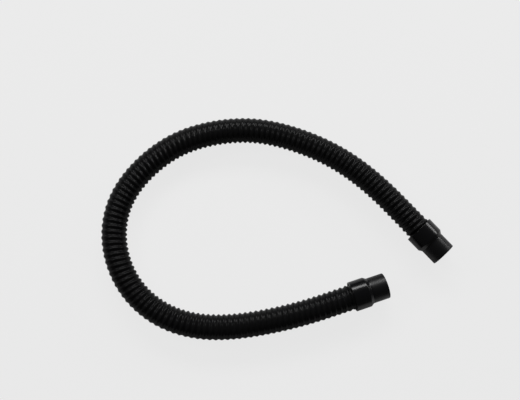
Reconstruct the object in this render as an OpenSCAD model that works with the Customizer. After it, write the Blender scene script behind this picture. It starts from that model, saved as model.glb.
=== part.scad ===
// Pool vacuum hose: one length of spiral-ribbed hose with a swivel cuff on each end.
// It lies on the ground in an open loop, on its ribs and on the collars of its cuffs.
// The origin is on the ground under the middle of the loop, +Z is up, and sizes are in millimetres.

/* [Hose] */
// Bore of the hose and of both cuffs
bore_d = 32; // [30:0.5:38]
// Thickness of the hose wall in the groove between two turns of the rib
hose_wall = 2.2; // [1.6:0.1:3]
// Height of the rib above the groove
rib_height = 2; // [1:0.1:3]
// Distance from one turn of the rib to the next
rib_pitch = 8.7; // [6.5:0.1:14]
// Way the rib winds
rib_hand = "left"; // [left, right]

/* [Cuff] */
// Length of the spigot, the narrow free end of a cuff
spigot_len = 27; // [15:1:50]
// Wall of the spigot
spigot_wall = 4.3; // [3:0.1:5]
// Length of the cone between the spigot and the collar
shoulder_len = 5; // [3:0.5:10]
// Length of the collar, the wide end that takes the hose
collar_len = 24; // [18:0.5:36]
// Wall of the collar
collar_wall = 1.25; // [1.1:0.05:3]
// Wall left between the bottom of the collar's pocket and the start of the cone
corner_web = 0.5; // [0.2:0.1:2]
// Chamfer that leads a fitting into the bore
lead_in = 1; // [0.5:0.1:2]
// Rounding of the cuff's outer rims
rim_r = 0.8; // [0.3:0.1:1]
// Rounding where the cone meets the collar and the spigot
shoulder_r = 2; // [0.5:0.1:3]

/* [Hose nut] */
// Thickness of the nut's end web, which the hose butts against
nut_web = 1.5; // [1:0.1:3]
// Wall of the nut's neck, round the crests of the rib
nut_wall = 1; // [0.8:0.1:2]
// Step from the neck out to the barrel, which the retaining ring holds back
nut_step = 0.8; // [0.6:0.1:1.5]
// How far the nut's tail stays inside the rim of the collar
tail_inset = 0.5; // [0:0.1:2]

/* [Seal and retaining ring] */
// Thickness of the sealing washer
seal_t = 1.5; // [1:0.1:3]
// Thickness of the retaining ring
ring_t = 3; // [2:0.5:5]
// Depth of the pocket that the retaining ring is pressed into
ring_seat = 0.5; // [0.3:0.05:0.8]

/* [Clearances] */
// Radial gap between the rib's crests and the nut
thread_gap = 0.15; // [0.1:0.05:0.4]
// Radial gap between the turning cuff and the nut
swivel_gap = 0.3; // [0.2:0.05:0.5]
// Gap between the sealing washer and the nut's face
face_gap = 0.2; // [0.1:0.05:0.4]
// End play between the nut's barrel and the retaining ring
end_play = 0.3; // [0.2:0.05:0.6]
// Gap round a ring that is pressed into a pocket
press_gap = 0.05; // [0.02:0.01:0.1]
// Amount that the washer's and the nut's holes are wider than the bore, on the radius
hole_relief = 0.5; // [0.2:0.1:1]

/* [Hidden] */
$fn = 96;

black = [0.06, 0.06, 0.065];
cuff_black = [0.09, 0.09, 0.1];
nut_grey = [0.2, 0.2, 0.21];
seal_grey = [0.3, 0.3, 0.31];

// Radii, from the bore outwards
bore_r = bore_d / 2;
groove_r = bore_r + hose_wall;
crest_r = groove_r + rib_height;
spigot_r = bore_r + spigot_wall;
hole_r = bore_r + hole_relief;
nut_bore_r = crest_r + thread_gap;
neck_r = nut_bore_r + nut_wall;
barrel_r = neck_r + nut_step;
pocket_r = barrel_r + swivel_gap;
ring_pocket_r = pocket_r + ring_seat;
collar_r = pocket_r + collar_wall;

// Heights along a cuff's own axis, from the cut end of the hose towards the mouth
seal_z = nut_web + face_gap;
seat_z = seal_z + seal_t;
cone_z = seat_z + corner_web;
spigot_z = cone_z + shoulder_len;
mouth_z = spigot_z + spigot_len;
rim_z = cone_z - collar_len;
ring_z = rim_z + ring_t;
barrel_z = ring_z + end_play;
tail_z = rim_z + tail_inset;

// The route of the hose's centre line over the ground, from the near end to the far end. The line
// is the uniform cubic spline of these points: it starts at the second and ends at the last but one.
// The first four and the last four are in line and evenly spaced, so both ends run straight.
near_step = [50, 17];
far_step = [40, -42];
near_end = [135.5, -103];
far_end = [238, -16.5];
route_on_ground = [
    near_end + near_step, near_end, near_end - near_step, near_end - 2 * near_step,
    [-45, -155], [-120, -160], [-185, -140], [-235, -95], [-260, -30], [-254, 35],
    [-219, 89], [-164, 134], [-100, 154], [-35, 159], [30, 144], [100, 114],
    far_end - 2 * far_step, far_end - far_step, far_end, far_end + far_step
];
// The cuffs stand on their collars, and the hose comes down to lie on its ribs.
straight_points = 4;
last_point = len(route_on_ground) - 1;
route = [for (i = [0:last_point])
    let (p = route_on_ground[i], in_cuff = i < straight_points || i > last_point - straight_points)
    [p.x, p.y, in_cuff ? collar_r : crest_r]];

function unit(v) = v / norm(v);
function spline(p, t) =
    ((1 - t)^3 * p[0] + (3 * t^3 - 6 * t^2 + 4) * p[1]
    + (-3 * t^3 + 3 * t^2 + 3 * t + 1) * p[2] + t^3 * p[3]) / 6;
function spline_slope(p, t) =
    (-(1 - t)^2 * p[0] + (3 * t^2 - 4 * t) * p[1] + (-3 * t^2 + 2 * t + 1) * p[2] + t^2 * p[3]) / 2;
spans = len(route) - 3;
function span_at(u) = min(floor(u), spans - 1);
function span_points(u) = [for (i = [0:3]) route[span_at(u) + i]];
function place(u) = spline(span_points(u), u - span_at(u));
function heading(u) = unit(spline_slope(span_points(u), u - span_at(u)));

// A table of distance along the line, so that points can be set out evenly
steps_per_span = 12;
steps = spans * steps_per_span;
trail = [for (i = [0:steps]) place(i / steps_per_span)];
distance = [for (i = 0, s = 0; i <= steps; i = i + 1, s = s + (i <= steps ? norm(trail[i] - trail[i - 1]) : 0)) s];
hose_len = distance[steps];
distance_table = [for (i = [0:steps]) [distance[i], i / steps_per_span]];

// A point on a ring of the tube: s along the hose, then an angle and a radius round its line.
// Angle 0 is level and 90 is up.
function on_tube(s, angle, r) =
    let (u = lookup(s, distance_table), along = heading(u),
        side = unit(cross([0, 0, 1], along)), up = cross(along, side))
    place(u) + r * (cos(angle) * side + sin(angle) * up);

// The rib is a spiral crest with a spiral groove beside it, each one strand of corners.
sides = 8;
turn = (rib_hand == "left" ? -1 : 1) * 360 / sides;
turns = round(hose_len / rib_pitch) - 1;
pitch = hose_len / (turns + 1);
groove_corners = [for (k = [0:sides * (turns + 1)]) on_tube(k * pitch / sides, k * turn, groove_r)];
crest_corners = [for (k = [0:sides * turns]) on_tube((k / sides + 0.5) * pitch, k * turn, crest_r)];
start_corners = [for (k = [1:sides - 1]) on_tube(0, k * turn, groove_r)];
end_corners = [for (k = [1:sides - 1]) on_tube(hose_len, k * turn, groove_r)];
turns_per_bore_ring = 2;
bore_rings = ceil(turns / turns_per_bore_ring);
bore_corners = [for (m = [0:bore_rings], k = [0:sides - 1]) on_tube(m * hose_len / bore_rings, k * turn, bore_r)];

// Numbers of the corners in the joined list
crest_first = len(groove_corners);
start_first = crest_first + len(crest_corners);
end_first = start_first + len(start_corners);
bore_first = end_first + len(end_corners);
function groove(k) = k;
function crest(k) = crest_first + k;
function start(k) = k % sides == 0 ? groove(0) : start_first + k - 1;
function end(k) = k % sides == 0 ? groove(sides * (turns + 1)) : end_first + k - 1;
function bore(m, k) = bore_first + m * sides + k % sides;
function four(a, b, c, d) = [[a, b, c], [a, c, d]];
function flip(faces) = [for (f = faces) [f[2], f[1], f[0]]];

rib_faces = [for (k = [0:sides * turns - 1]) each concat(
    four(groove(k), groove(k + 1), crest(k + 1), crest(k)),
    four(crest(k), crest(k + 1), groove(k + 1 + sides), groove(k + sides)))];
// The rib starts and stops with a cut face, and a plain band fills up to each end of the hose.
start_faces = concat(
    [[start(0), start(1), groove(1)], [groove(0), crest(0), groove(sides)]],
    [for (k = [1:sides - 1]) each four(start(k), start(k + 1), groove(k + 1), groove(k))]);
last_turn = sides * turns;
end_faces = concat(
    [[groove(last_turn + sides - 1), end(sides), end(sides - 1)],
        [groove(last_turn), end(0), crest(last_turn)]],
    [for (k = [0:sides - 2])
        each four(groove(last_turn + k), groove(last_turn + k + 1), end(k + 1), end(k))]);
bore_faces = flip([for (m = [0:bore_rings - 1], k = [0:sides - 1])
    each four(bore(m, k), bore(m, k + 1), bore(m + 1, k + 1), bore(m + 1, k))]);
rim_faces = [for (k = [0:sides - 1]) each concat(
    four(bore(0, k), bore(0, k + 1), start(k + 1), start(k)),
    four(end(k), end(k + 1), bore(bore_rings, k + 1), bore(bore_rings, k)))];
hose_corners = concat(groove_corners, crest_corners, start_corners, end_corners, bore_corners);
hose_faces = concat(rib_faces, start_faces, end_faces, bore_faces, rim_faces);

bend_radii = [for (i = [1:steps - 1])
    let (back = trail[i] - trail[i - 1], on = trail[i + 1] - trail[i])
    (norm(back) + norm(on)) / 2 / (max(norm(cross(unit(back), unit(on))), 0.000001))];
echo(hose_length = hose_len, rib_turns = turns, tightest_bend_radius = min(bend_radii));

// The outline of a turned piece: each corner is radius, height and the rounding of that corner.
function rounded(corners) = let (n = len(corners)) [for (i = [0:n - 1])
    each round_corner(corners[(i + n - 1) % n], corners[i], corners[(i + 1) % n])];
arc_steps = 5;
function round_corner(before, corner, after) =
    let (b = [corner[0], corner[1]], r = corner[2])
    r == 0 ? [b] :
    let (
        u = unit([before[0], before[1]] - b),
        v = unit([after[0], after[1]] - b),
        half = acos(u * v) / 2,
        centre = b + unit(u + v) * r / sin(half),
        from = b + u * r / tan(half) - centre,
        to = b + v * r / tan(half) - centre,
        first = atan2(from.y, from.x),
        sweep = atan2(from.x * to.y - from.y * to.x, from * to))
    [for (i = [0:arc_steps])
        let (a = first + sweep * i / arc_steps) centre + r * [cos(a), sin(a)]];
module turned(corners) {
    rotate_extrude() polygon(rounded(corners));
}

// Stands a piece on the end of the hose, with its own axis pointing out of the hose's mouth
module on_end(end_point, step) {
    translate([end_point.x, end_point.y, collar_r])
        rotate([0, 90, atan2(step.y, step.x)])
            children();
}

module cuff() {
    color(cuff_black) turned([
        [collar_r, rim_z, min(rim_r, (collar_r - ring_pocket_r) / 2)],
        [collar_r, cone_z, shoulder_r],
        [spigot_r, spigot_z, shoulder_r],
        [spigot_r, mouth_z, rim_r],
        [bore_r + lead_in, mouth_z, 0],
        [bore_r, mouth_z - lead_in, 0],
        [bore_r, seat_z, 0],
        [pocket_r, seat_z, 0],
        [pocket_r, ring_z, 0],
        [ring_pocket_r, ring_z, 0],
        [ring_pocket_r, rim_z, 0]
    ]);
}

module retaining_ring() {
    color(cuff_black) turned([
        [neck_r + swivel_gap, rim_z, 0],
        [ring_pocket_r - press_gap, rim_z, 0],
        [ring_pocket_r - press_gap, ring_z, 0],
        [neck_r + swivel_gap, ring_z, 0]
    ]);
}

module seal_washer() {
    color(seal_grey) turned([
        [hole_r, seal_z, 0],
        [pocket_r - press_gap, seal_z, 0],
        [pocket_r - press_gap, seat_z, 0],
        [hole_r, seat_z, 0]
    ]);
}

module hose_nut() {
    color(nut_grey) turned([
        [hole_r, 0, 0],
        [hole_r, nut_web, 0],
        [barrel_r, nut_web, nut_web / 3],
        [barrel_r, barrel_z, 0],
        [neck_r, barrel_z, 0],
        [neck_r, tail_z, 0],
        [nut_bore_r, tail_z, 0],
        [nut_bore_r, 0, 0]
    ]);
}

module hose() {
    color(black) polyhedron(hose_corners, hose_faces, convexity = 12);
}

module near_cuff() {
    on_end(near_end, near_step) cuff();
}

module near_retaining_ring() {
    on_end(near_end, near_step) retaining_ring();
}

module near_seal_washer() {
    on_end(near_end, near_step) seal_washer();
}

module near_hose_nut() {
    on_end(near_end, near_step) hose_nut();
}

module far_cuff() {
    on_end(far_end, far_step) cuff();
}

module far_retaining_ring() {
    on_end(far_end, far_step) retaining_ring();
}

module far_seal_washer() {
    on_end(far_end, far_step) seal_washer();
}

module far_hose_nut() {
    on_end(far_end, far_step) hose_nut();
}

hose();
near_cuff();
near_retaining_ring();
near_seal_washer();
near_hose_nut();
far_cuff();
far_retaining_ring();
far_seal_washer();
far_hose_nut();
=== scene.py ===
from math import atan2, cos, hypot, pi, radians, sin, tan

import bpy
import numpy as np
from mathutils import Euler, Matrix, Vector


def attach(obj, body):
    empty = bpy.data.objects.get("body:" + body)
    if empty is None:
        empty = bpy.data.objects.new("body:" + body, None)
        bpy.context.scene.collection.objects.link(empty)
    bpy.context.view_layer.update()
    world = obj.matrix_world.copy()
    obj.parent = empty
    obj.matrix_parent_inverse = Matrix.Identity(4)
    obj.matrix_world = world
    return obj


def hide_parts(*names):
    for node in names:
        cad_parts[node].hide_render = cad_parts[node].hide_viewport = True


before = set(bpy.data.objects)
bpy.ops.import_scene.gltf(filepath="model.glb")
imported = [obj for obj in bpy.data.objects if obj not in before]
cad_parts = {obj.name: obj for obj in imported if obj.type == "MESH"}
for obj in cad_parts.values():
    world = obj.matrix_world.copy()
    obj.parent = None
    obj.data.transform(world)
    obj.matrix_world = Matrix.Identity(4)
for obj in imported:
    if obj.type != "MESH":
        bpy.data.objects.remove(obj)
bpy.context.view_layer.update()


# ---- Camera -------------------------------------------------------------------------------------
# It looks down on the hose from a little in front of it and a little to its left, with a lens
# long enough that the loop fills two thirds of the picture's width.
sensor_width = 36
picture_width = 520
focal_pixels = 1000
camera_aim = Vector((-0.028, 0.0435, 0.020))
camera_turn = Euler((radians(10.05), radians(-3.05), 0))
camera_distance = 1.585

camera_data = bpy.data.cameras.new("camera")
camera_data.sensor_width = sensor_width
camera_data.lens = focal_pixels * sensor_width / picture_width
camera = bpy.data.objects.new("camera", camera_data)
camera.rotation_euler = camera_turn
camera.location = camera_aim + camera_distance * (camera_turn.to_matrix() @ Vector((0, 0, 1)))
bpy.context.scene.collection.objects.link(camera)
bpy.context.scene.camera = camera


# ---- Ribbed hose --------------------------------------------------------------------------------
# One length of black polyethylene hose with a plain bore and a rounded rib in a left-handed spiral.
# It has been kept coiled, so its folds are deeper on the inside of the loop and flatter outside.
# Its cut ends are screwed into the hose nuts.
bore_radius = 0.016
crest_radius = 0.0202
collar_radius = 0.0237
rib_pitch = 0.0087
rib_depth = 0.002
coil_set = 0.2

near_end = Vector((0.1355, -0.103))
near_step = Vector((0.050, 0.017))
far_end = Vector((0.238, -0.0165))
far_step = Vector((0.040, -0.042))
near_straight = [near_end + near_step, near_end, near_end - near_step, near_end - 2 * near_step]
far_straight = [far_end - 2 * far_step, far_end - far_step, far_end, far_end + far_step]
loop = [
    (-0.045, -0.155), (-0.120, -0.160), (-0.185, -0.140), (-0.235, -0.095), (-0.260, -0.030),
    (-0.254, 0.035), (-0.219, 0.089), (-0.164, 0.134), (-0.100, 0.154), (-0.035, 0.159),
    (0.030, 0.144), (0.100, 0.114),
]
# The cuffs stand on their collars, and between them the hose comes down to lie on its ribs.
route = np.array(
    [(x, y, collar_radius) for x, y in near_straight]
    + [(x, y, crest_radius) for x, y in loop]
    + [(x, y, collar_radius) for x, y in far_straight]
)


def unit(vectors):
    return vectors / np.linalg.norm(vectors, axis=-1, keepdims=True)


def spline_through(points, samples=60):
    """Places along a uniform cubic spline, from beside its second point to beside its last but one."""
    t = np.arange(samples)[:, None] / samples
    spans = [
        ((1 - t) ** 3 * p[0] + (3 * t**3 - 6 * t**2 + 4) * p[1]
         + (-3 * t**3 + 3 * t**2 + 3 * t + 1) * p[2] + t**3 * p[3]) / 6
        for p in (points[i:i + 4] for i in range(len(points) - 3))
    ]
    last = (points[-3] + 4 * points[-2] + points[-1]) / 6
    return np.concatenate([*spans, last[None]])


def band(first, second, sides):
    """Faces between two rings of corners. A corner has one lap more where the rings close."""
    faces = []
    for k in range(sides):
        onward, laps = (k + 1) % sides, (k + 1) // sides
        faces.append([(first + k, 0), (first + onward, laps), (second + onward, laps), (second + k, 0)])
    return faces


def new_piece(name, points, faces, turns_round, metres_along, sharp_from=radians(35)):
    """A closed mesh whose UV map holds each corner's turns round the piece and metres along it."""
    mesh = bpy.data.meshes.new(name)
    mesh.from_pydata(points.tolist(), [], [[corner for corner, _ in face] for face in faces])
    corner = np.array([corner for face in faces for corner, _ in face])
    laps = np.array([lap for face in faces for _, lap in face])
    uv = mesh.uv_layers.new(name="round_and_along")
    uv.data.foreach_set(
        "uv", np.stack([turns_round[corner] + laps, metres_along[corner]], axis=1).ravel()
    )
    mesh.shade_smooth()
    mesh.set_sharp_from_angle(angle=sharp_from)
    piece = bpy.data.objects.new(name, mesh)
    bpy.context.scene.collection.objects.link(piece)
    return piece


hose_line = spline_through(route)
travelled = np.concatenate([[0], np.cumsum(np.linalg.norm(np.diff(hose_line, axis=0), axis=1))])
hose_length = travelled[-1]
turns = round(hose_length / rib_pitch)
pitch = hose_length / turns

rings_per_turn = 12
hose_sides = 52
ring_at = np.linspace(0, hose_length, turns * rings_per_turn + 1)
centre = np.stack([np.interp(ring_at, travelled, hose_line[:, axis]) for axis in range(3)], axis=1)
along = unit(np.gradient(centre, ring_at, axis=0))
left = unit(np.cross([0, 0, 1], along))
up = np.cross(along, left)
angle = np.arange(hose_sides) * 2 * pi / hose_sides
outward = left[:, None] * np.cos(angle)[:, None] + up[:, None] * np.sin(angle)[:, None]

# The loop's inside is on the hose's right. The rib fades out in the last turn, inside the nut.
turned = ring_at[:, None] / pitch + angle / (2 * pi)
rib_wave = 0.5 - 0.5 * np.cos(2 * pi * turned)
fade = np.clip(np.minimum(ring_at, hose_length - ring_at) / pitch, 0, 1)[:, None]
depth = rib_depth * (1 - coil_set * np.cos(angle))
wall_radius = crest_radius - depth * (1 - rib_wave * fade)
outer = centre[:, None] + wall_radius[..., None] * outward
bore_at = np.arange(0, len(ring_at), rings_per_turn // 2)
inner = (centre[:, None] + bore_radius * outward)[bore_at]

first_inner = len(ring_at) * hose_sides
last_outer = first_inner - hose_sides
last_inner = first_inner + (len(bore_at) - 1) * hose_sides
hose_faces = band(first_inner, 0, hose_sides) + band(last_outer, last_inner, hose_sides)
for start in range(0, last_outer, hose_sides):
    hose_faces += band(start, start + hose_sides, hose_sides)
for start in range(first_inner, last_inner, hose_sides):
    hose_faces += band(start + hose_sides, start, hose_sides)
hose = new_piece(
    "ribbed_hose",
    np.concatenate([outer.reshape(-1, 3), inner.reshape(-1, 3)]),
    hose_faces,
    turns_round=np.concatenate([turned.ravel(), turned[bore_at].ravel()]),
    metres_along=np.repeat(np.concatenate([ring_at, ring_at[bore_at]]), hose_sides),
)


class Finish:
    """A node-based plastic or rubber, put together one step at a time."""

    def __init__(self, name, specular):
        self.material = bpy.data.materials.new(name)
        self.material.use_nodes = True
        self.nodes = self.material.node_tree.nodes
        self.shader = self.nodes["Principled BSDF"]
        self.shader.inputs["Specular IOR Level"].default_value = specular

    def add(self, kind, **inputs):
        node = self.nodes.new(kind)
        for socket, value in inputs.items():
            self.feed(node, socket, value)
        return node

    def feed(self, node, socket, value):
        if isinstance(value, bpy.types.NodeSocket):
            self.material.node_tree.links.new(value, node.inputs[socket])
        else:
            node.inputs[socket].default_value = value

    def coat(self, colour, roughness):
        self.feed(self.shader, "Base Color", colour)
        self.feed(self.shader, "Roughness", roughness)

    def bump(self, height, strength, distance):
        node = self.add("ShaderNodeBump", Height=height, Strength=strength, Distance=distance)
        self.feed(self.shader, "Normal", node.outputs[0])

    def math(self, operation, first, second=0.0):
        node = self.nodes.new("ShaderNodeMath")
        node.operation = operation
        self.feed(node, 0, first)
        self.feed(node, 1, second)
        return node.outputs[0]

    def noise(self, scale, detail=3):
        place = self.nodes.new("ShaderNodeTexCoord").outputs["Object"]
        node = self.add("ShaderNodeTexNoise", Vector=place, Scale=scale, Detail=detail)
        return node.outputs["Fac"]

    def round_and_along(self):
        """The turns round the piece and the metres along it, from its UV map."""
        place = self.nodes.new("ShaderNodeTexCoord").outputs["UV"]
        node = self.add("ShaderNodeSeparateXYZ", Vector=place)
        return node.outputs["X"], node.outputs["Y"]

    def spread(self, value, low, high, from_low=0.3, from_high=0.7):
        """The value brought from the range from_low to from_high to the range low to high."""
        node = self.nodes.new("ShaderNodeMapRange")
        for socket, number in zip(node.inputs, (value, from_low, from_high, low, high)):
            self.feed(node, socket.name, number)
        return node.outputs[0]

    def blend(self, share, first, second):
        """A mix of two colours, which that node takes at sockets 6 and 7 and gives at output 2."""
        node = self.nodes.new("ShaderNodeMix")
        node.data_type = "RGBA"
        self.feed(node, 0, share)
        self.feed(node, 6, (*first, 1))
        self.feed(node, 7, (*second, 1))
        return node.outputs[2]


# Extruded plastic: fine lines run along the strip, and its crests are rubbed a little paler.
hose_black = (0.0055, 0.0055, 0.0057)
rubbed_black = (0.0080, 0.0080, 0.0083)
lines_across_strip = 14
line_changes_per_metre = 6

hose_plastic = Finish("black_hose_plastic", specular=0.05)
turns_round, metres_along = hose_plastic.round_and_along()
strip = hose_plastic.math("FRACT", turns_round)
crest = hose_plastic.math("PINGPONG", turns_round, 0.5)
mottle = hose_plastic.noise(90, detail=4)
rubbed = hose_plastic.math(
    "MULTIPLY",
    hose_plastic.spread(crest, 0, 1, from_low=0.36, from_high=0.5),
    hose_plastic.spread(mottle, 0, 1, from_low=0.5, from_high=0.65),
)
hose_plastic.coat(
    colour=hose_plastic.blend(rubbed, hose_black, rubbed_black),
    roughness=hose_plastic.spread(mottle, 0.18, 0.26),
)
lines_at = hose_plastic.add(
    "ShaderNodeCombineXYZ",
    X=hose_plastic.math("MULTIPLY", strip, lines_across_strip),
    Y=hose_plastic.math("MULTIPLY", metres_along, line_changes_per_metre),
)
lines = hose_plastic.add("ShaderNodeTexNoise", Vector=lines_at.outputs[0], Scale=1.0, Detail=2.0)
hose_plastic.bump(lines.outputs["Fac"], strength=0.2, distance=0.00012)

hose.data.materials.append(hose_plastic.material)
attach(hose, "hose_line")
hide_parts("hose")


# ---- Swivel cuffs -------------------------------------------------------------------------------
# One on each end, injection-moulded in glossy black plastic: a wide collar that holds the hose nut,
# a short cone, and the spigot that takes a fitting. The spigots are duller from being pushed home.
spigot_radius = 0.0203
spigot_length = 0.027
cone_length = 0.005
collar_length = 0.024
collar_wall = 0.00125
seat_at = 0.0032
cone_at = 0.0037
cone_rounding = 0.002
rim_rounding = 0.0008
lead_in = 0.001
lead_in_rounding = 0.0004
ring_thickness = 0.003
ring_seat = 0.0005
pocket_radius = collar_radius - collar_wall
ring_pocket_radius = pocket_radius + ring_seat
spigot_at = cone_at + cone_length
mouth_at = spigot_at + spigot_length
rim_at = cone_at - collar_length
ring_front_at = rim_at + ring_thickness

# Each corner: its radius, its height from the hose's end towards the mouth, and its rounding.
cuff_outline = [
    (collar_radius, rim_at, (collar_radius - ring_pocket_radius) / 2),
    (collar_radius, cone_at, cone_rounding),
    (spigot_radius, spigot_at, cone_rounding),
    (spigot_radius, mouth_at, rim_rounding),
    (bore_radius + lead_in, mouth_at, lead_in_rounding),
    (bore_radius, mouth_at - lead_in, lead_in_rounding),
    (bore_radius, seat_at, 0),
    (pocket_radius, seat_at, 0),
    (pocket_radius, ring_front_at, 0),
    (ring_pocket_radius, ring_front_at, 0),
    (ring_pocket_radius, rim_at, 0),
]


def rounded(outline, steps=8):
    """The corners of a turned outline, with each one's rounding as an arc."""
    corners = []
    for before, corner, after in zip([outline[-1], *outline], outline, [*outline[1:], outline[0]]):
        here, radius = np.array(corner[:2]), corner[2]
        if radius == 0:
            corners.append(here)
            continue
        back, on = unit(np.array(before[:2]) - here), unit(np.array(after[:2]) - here)
        half = np.arccos(np.dot(back, on)) / 2
        middle = here + unit(back + on) * radius / sin(half)
        first, last = (here + way * radius / tan(half) - middle for way in (back, on))
        begin = atan2(first[1], first[0])
        sweep = atan2(first[0] * last[1] - first[1] * last[0], np.dot(first, last))
        for step in range(steps + 1):
            bearing = begin + sweep * step / steps
            corners.append(middle + radius * np.array((cos(bearing), sin(bearing))))
    return np.array(corners)


def turned_piece(name, outline, end, step, sides=128):
    """A piece turned round the axis of one end of the hose, with its heights towards the mouth."""
    corners = rounded(outline)
    turn = np.arange(sides) * 2 * pi / sides
    axis = np.array((*step, 0)) / hypot(*step)
    level, upright = np.array((-axis[1], axis[0], 0)), np.array((0, 0, 1))
    spokes = np.cos(turn)[:, None] * level + np.sin(turn)[:, None] * upright
    foot = np.array((*end, collar_radius))
    points = foot + corners[:, 1, None, None] * axis + corners[:, 0, None, None] * spokes
    faces = []
    for ring in range(len(corners)):
        faces += band(sides * ring, sides * ((ring + 1) % len(corners)), sides)
    return new_piece(
        name, points.reshape(-1, 3), faces,
        turns_round=np.tile(turn / (2 * pi), len(corners)),
        metres_along=np.repeat(corners[:, 1], sides),
    )


# Smeared by hands, duller from just behind the spigot, and scuffed to grey in spots at the mouth.
cuff_black = (0.0022, 0.0022, 0.0026)
scuffed_grey = (0.014, 0.014, 0.015)
dull_from = spigot_at - 0.002
dull_to = spigot_at + 0.004
scuffed_from = mouth_at - 0.0012
spigot_dullness = 0.17

cuff_plastic = Finish("glossy_cuff_plastic", specular=0.25)
turns_round, metres_along = cuff_plastic.round_and_along()
dulled = cuff_plastic.spread(metres_along, 0, spigot_dullness, from_low=dull_from, from_high=dull_to)
smeared = cuff_plastic.spread(cuff_plastic.noise(28), 0.20, 0.25)
scuffed = cuff_plastic.math(
    "MULTIPLY",
    cuff_plastic.spread(metres_along, 0, 1, from_low=scuffed_from, from_high=mouth_at),
    cuff_plastic.spread(cuff_plastic.noise(260, detail=5), 0, 1, from_low=0.45, from_high=0.6),
)
cuff_plastic.coat(
    colour=cuff_plastic.blend(scuffed, cuff_black, scuffed_grey),
    roughness=cuff_plastic.math("ADD", smeared, dulled),
)
cuff_plastic.bump(cuff_plastic.noise(300, detail=1), strength=0.05, distance=0.00003)

for which, body, end, step in (
    ("near", "near_swivel", near_end, near_step),
    ("far", "far_swivel", far_end, far_step),
):
    cuff = turned_piece(which + "_swivel_cuff", cuff_outline, end, step)
    cuff.data.materials.append(cuff_plastic.material)
    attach(cuff, body)
    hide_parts(which + "_cuff")


# ---- Retaining rings, seals and hose nuts -------------------------------------------------------
# Inside each cuff: the nut that is screwed on to the hose, the rubber washer between its face and
# the cuff, and the ring that is pressed into the collar behind it. Of these, only the rear faces of
# the nut and the ring show.


def mottled(name, specular, shade_scale, dark, pale, gloss_scale, smooth, rough):
    """A finish that varies from dark to pale and from smooth to rough."""
    finish = Finish(name, specular)
    finish.coat(
        colour=finish.blend(finish.noise(shade_scale), dark, pale),
        roughness=finish.spread(finish.noise(gloss_scale), smooth, rough),
    )
    return finish


ring_plastic = mottled(
    "retaining_ring_plastic", specular=0.2,
    shade_scale=120, dark=(0.003, 0.003, 0.0032), pale=(0.006, 0.006, 0.0063),
    gloss_scale=80, smooth=0.26, rough=0.4,
)
ring_plastic.bump(ring_plastic.noise(900, detail=2), strength=0.2, distance=0.00003)

nut_plastic = mottled(
    "matte_nut_plastic", specular=0.2,
    shade_scale=150, dark=(0.010, 0.010, 0.0103), pale=(0.018, 0.018, 0.0185),
    gloss_scale=100, smooth=0.5, rough=0.65,
)
nut_plastic.bump(nut_plastic.noise(1200, detail=2), strength=0.4, distance=0.00005)

seal_rubber = mottled(
    "seal_rubber", specular=0.25,
    shade_scale=200, dark=(0.020, 0.020, 0.021), pale=(0.034, 0.034, 0.035),
    gloss_scale=300, smooth=0.7, rough=0.9,
)
seal_rubber.bump(seal_rubber.noise(2000), strength=0.5, distance=0.00005)

for which in ("near", "far"):
    for part, finish in (
        ("retaining_ring", ring_plastic), ("hose_nut", nut_plastic), ("seal_washer", seal_rubber)
    ):
        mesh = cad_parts[which + "_" + part].data
        mesh.materials.clear()
        mesh.materials.append(finish.material)


# ---- Floor and studio light ---------------------------------------------------------------------
# A plain pale floor. A look straight at it sees nearly all of its brightness as its own, so the
# shadow that the hose throws stays faint, and reflections see it more as the lamps light it.
# A long, narrow softbox stands behind the loop, with two small ones to its right and left.
floor_half = 6
floor_colour = (0.83, 0.83, 0.83, 1)
own_light_seen = 0.93
own_light_mirrored = 0.1
room_light = 0.1

floor_mesh = bpy.data.meshes.new("floor")
floor_mesh.from_pydata(
    [(x * floor_half, y * floor_half, 0) for x, y in ((-1, -1), (1, -1), (1, 1), (-1, 1))],
    [], [(0, 1, 2, 3)],
)
floor = bpy.data.objects.new("floor", floor_mesh)
bpy.context.scene.collection.objects.link(floor)

floor_finish = Finish("pale_floor", specular=0.1)
floor_finish.coat(colour=floor_colour, roughness=0.9)
rays = floor_finish.nodes.new("ShaderNodeLightPath")
mirrored = floor_finish.math(
    "MAXIMUM", rays.outputs["Is Glossy Ray"], rays.outputs["Is Transmission Ray"]
)
own_share = floor_finish.math(
    "MAXIMUM",
    floor_finish.math("MULTIPLY", rays.outputs["Is Camera Ray"], own_light_seen),
    floor_finish.math("MULTIPLY", mirrored, own_light_mirrored),
)
own_light = floor_finish.add("ShaderNodeEmission", Color=floor_colour, Strength=1.0)
mixer = floor_finish.add("ShaderNodeMixShader", Fac=own_share)
floor_finish.feed(mixer, 1, floor_finish.shader.outputs[0])
floor_finish.feed(mixer, 2, own_light.outputs[0])
floor_finish.feed(floor_finish.nodes["Material Output"], "Surface", mixer.outputs[0])
floor.data.materials.append(floor_finish.material)


def softbox(name, place, size, power):
    """A rectangular lamp that faces the middle of the floor."""
    light = bpy.data.lights.new(name, "AREA")
    light.shape = "RECTANGLE"
    light.size, light.size_y = size
    light.energy = power
    lamp = bpy.data.objects.new(name, light)
    lamp.location = place
    lamp.rotation_euler = (-Vector(place)).to_track_quat("-Z", "Y").to_euler()
    bpy.context.scene.collection.objects.link(lamp)


softbox("rear_softbox", place=(-0.2, 2.8, 2.0), size=(3.2, 0.85), power=106)
softbox("right_softbox", place=(1.3, 1.25, 0.70), size=(0.9, 0.30), power=12.5)
softbox("left_softbox", place=(-1.4, 0.6, 1.3), size=(0.6, 0.6), power=8)

world = bpy.data.worlds.new("studio")
world.use_nodes = True
room = world.node_tree.nodes["Background"]
room.inputs["Color"].default_value = (1, 1, 1, 1)
room.inputs["Strength"].default_value = room_light
bpy.context.scene.world = world
bpy.context.scene.view_settings.view_transform = "Standard"
